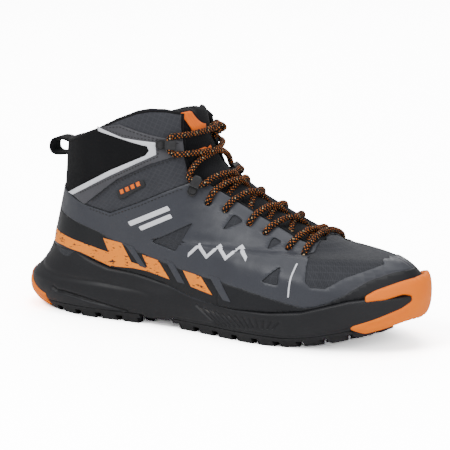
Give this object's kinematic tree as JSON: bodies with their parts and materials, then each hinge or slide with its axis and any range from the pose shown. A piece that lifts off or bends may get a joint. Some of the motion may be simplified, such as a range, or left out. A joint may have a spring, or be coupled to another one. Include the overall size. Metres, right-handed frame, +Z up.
{
  "type": "hiking boot",
  "caption": "Mid-height lace-up hiking boot for the right foot: film over mesh upper, padded collar, speed hooks, heel pull loop, foam midsole and a lugged rubber outsole with a toe bumper.",
  "frame": {"origin": "on the ground under the middle of the boot's length and width", "axes": "+X to the toe, +Z up, -Y to the outer (lateral) side of the right foot"},
  "size_m": [0.3119, 0.1064, 0.1531],
  "materials": {
    "midsole_foam": "matt moulded EVA foam with a fine skin",
    "outsole_rubber": "matt black rubber",
    "bumper_rubber": "matt orange rubber",
    "inner_board": "plain board",
    "footbed_fabric": "brushed knit over foam",
    "upper_mesh": "close woven mesh",
    "ankle_textile": "ripstop fabric",
    "heel_textile": "smooth stretch fabric",
    "overlay_film": "satin film bonded over mesh",
    "heel_band_film": "matt film with printed orange blocks",
    "light_trim": "pale reflective film",
    "lining_textile": "spacer mesh",
    "binding_textile": "folded knit tape",
    "tongue_textile": "padded textile",
    "woven_label": "woven label",
    "hook_metal": "black coated steel",
    "webbing": "woven webbing",
    "lace_cord": "braided round lace with orange and cream flecks",
    "aglet_plastic": "shrunk plastic tube"
  },
  "bodies": {
    "boot": {"ankle_cuff_lateral": "ankle_textile", "ankle_cuff_medial": "ankle_textile", "chevron_trim_lateral": "light_trim", "chevron_trim_medial": "light_trim", "collar_binding": "binding_textile", "collar_foam": "lining_textile", "collar_lining": "lining_textile", "eyestay_lateral": "inner_board", "eyestay_medial": "inner_board", "heel_counter": "inner_board", "heel_crash_pad": "bumper_rubber", "heel_panel": "heel_textile", "heel_wrap": "heel_band_film", "hook_lower_lateral": "hook_metal", "hook_lower_medial": "hook_metal", "hook_rivets": "hook_metal", "hook_upper_lateral": "hook_metal", "hook_upper_medial": "hook_metal", "inner_lining": "lining_textile", "insole_board": "inner_board", "lace": "lace_cord", "lace_aglets": "aglet_plastic", "lace_knot": "lace_cord", "loop_anchor": "webbing", "midsole": "midsole_foam", "outsole_forefoot": "outsole_rubber", "outsole_heel": "outsole_rubber", "overlay_lateral": "overlay_film", "overlay_medial": "overlay_film", "quarter_lateral": "upper_mesh", "quarter_medial": "upper_mesh", "shank_plate": "inner_board", "side_label": "woven_label", "toe_bumper": "bumper_rubber", "toe_puff": "inner_board", "toe_rand": "overlay_film", "tongue_lower": "tongue_textile", "vamp": "upper_mesh"},
    "pull_loop": {"pull_loop": "webbing"},
    "tongue_top": {"tongue_top": "tongue_textile", "tongue_label": "woven_label"},
    "footbed": {"footbed": "footbed_fabric"}
  },
  "joints": [
    {"name": "pull_loop_swing", "type": "hinge", "parent": "boot", "child": "pull_loop", "pos_m": [-0.1343, 0, 0.11325], "axis": [0, 0, 1], "range_deg": [-25, 25], "stiffness_Nm_per_rad": 0.002},
    {"name": "tongue_top_tilt", "type": "hinge", "parent": "boot", "child": "tongue_top", "pos_m": [-0.018, 0, 0.1406], "axis": [0, 1, 0], "range_deg": [-10, 10], "stiffness_Nm_per_rad": 0.05},
    {"name": "footbed_lift", "type": "hinge", "parent": "boot", "child": "footbed", "pos_m": [0.144, 0, 0.033], "axis": [0, 1, 0], "range_deg": [0, 4]}
  ]
}
